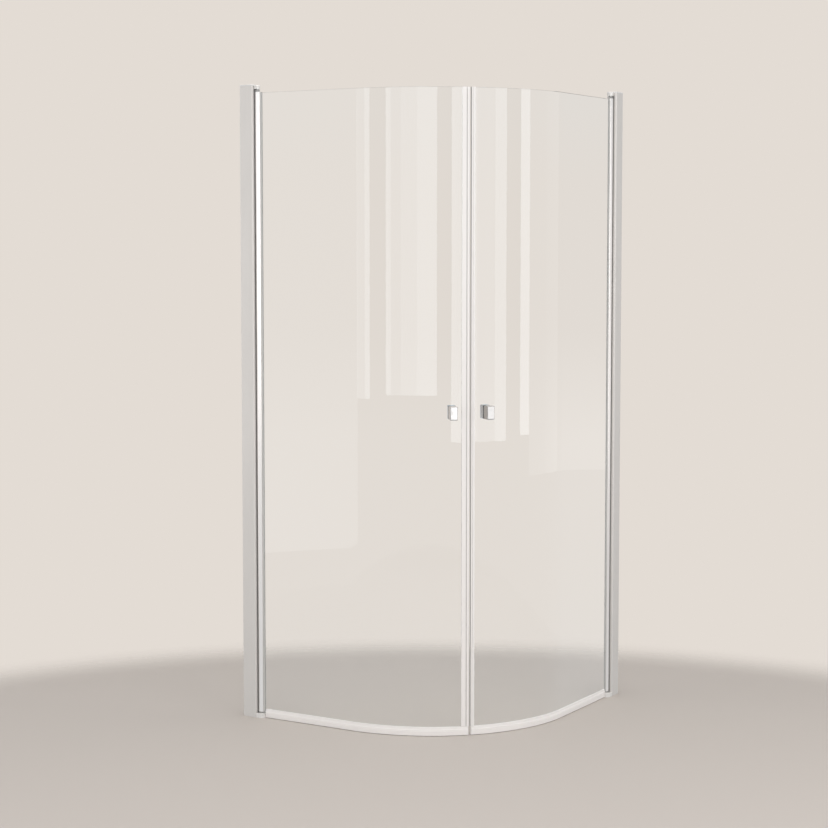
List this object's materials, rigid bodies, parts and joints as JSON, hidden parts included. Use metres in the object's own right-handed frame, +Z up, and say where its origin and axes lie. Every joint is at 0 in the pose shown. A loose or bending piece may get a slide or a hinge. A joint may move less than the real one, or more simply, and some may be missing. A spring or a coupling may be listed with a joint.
{
  "type": "quadrant shower enclosure",
  "caption": "Corner shower enclosure of two bent clear-glass doors hung on slim wall posts, with magnetic edge seals and block knobs.",
  "frame": {"origin": "on the floor, under the middle of the plan; the room corner is at x = -0.448, y = +0.448", "axes": "+Z up; +X along the back wall, away from the room corner; +Y towards the back wall, so the left post is on the wall at -X and the right post on the wall at +Y"},
  "size_m": [0.896, 0.896, 2],
  "materials": {
    "profile": "matt anodised extrusion",
    "end_cap": "moulded, fine satin",
    "bracket": "satin die casting",
    "hinge_tube": "bright polished extrusion",
    "steel": "turned stainless steel",
    "bush": "moulded acetal",
    "screw_cap": "moulded, glossy",
    "gasket": "soft extruded vinyl",
    "seal": "translucent white extruded vinyl",
    "magnet": "flexible magnetic strip in a white sleeve",
    "glass": "clear toughened, polished edges",
    "knob": "polished chrome",
    "washer": "clear soft vinyl"
  },
  "bodies": {
    "root": {"left_wall_profile": "profile", "left_adjuster_profile": "profile", "left_end_cap": "end_cap", "left_top_bracket": "bracket", "left_bottom_bracket": "bracket", "left_top_pivot_pin": "steel", "left_bottom_pivot_pin": "steel", "left_thrust_washer": "bush", "left_bracket_screws": "steel", "left_clamp_screws": "steel", "left_screw_caps": "screw_cap", "left_tube_seal": "gasket", "right_wall_profile": "profile", "right_adjuster_profile": "profile", "right_end_cap": "end_cap", "right_top_bracket": "bracket", "right_bottom_bracket": "bracket", "right_top_pivot_pin": "steel", "right_bottom_pivot_pin": "steel", "right_thrust_washer": "bush", "right_bracket_screws": "steel", "right_clamp_screws": "steel", "right_screw_caps": "screw_cap", "right_tube_seal": "gasket"},
    "left_door": {"left_hinge_tube": "hinge_tube", "left_glass_gasket": "gasket", "left_top_bush": "bush", "left_bottom_bush": "bush", "left_glass": "glass", "left_magnet_seal": "seal", "left_magnet_strip": "magnet", "left_bottom_seal": "seal", "left_outer_knob": "knob", "left_inner_knob": "knob", "left_knob_stud": "steel", "left_knob_sleeve": "washer", "left_knob_washers": "washer"},
    "right_door": {"right_hinge_tube": "hinge_tube", "right_glass_gasket": "gasket", "right_top_bush": "bush", "right_bottom_bush": "bush", "right_glass": "glass", "right_magnet_seal": "seal", "right_magnet_strip": "magnet", "right_bottom_seal": "seal", "right_outer_knob": "knob", "right_inner_knob": "knob", "right_knob_stud": "steel", "right_knob_sleeve": "washer", "right_knob_washers": "washer"}
  },
  "joints": [
    {"name": "left_door_hinge", "type": "hinge", "parent": "root", "child": "left_door", "pos_m": [-0.393, -0.43, 0], "axis": [0, 0, -1], "range_deg": [-70, 90]},
    {"name": "right_door_hinge", "type": "hinge", "parent": "root", "child": "right_door", "pos_m": [0.43, 0.393, 0], "axis": [0, 0, 1], "range_deg": [-70, 90]}
  ]
}
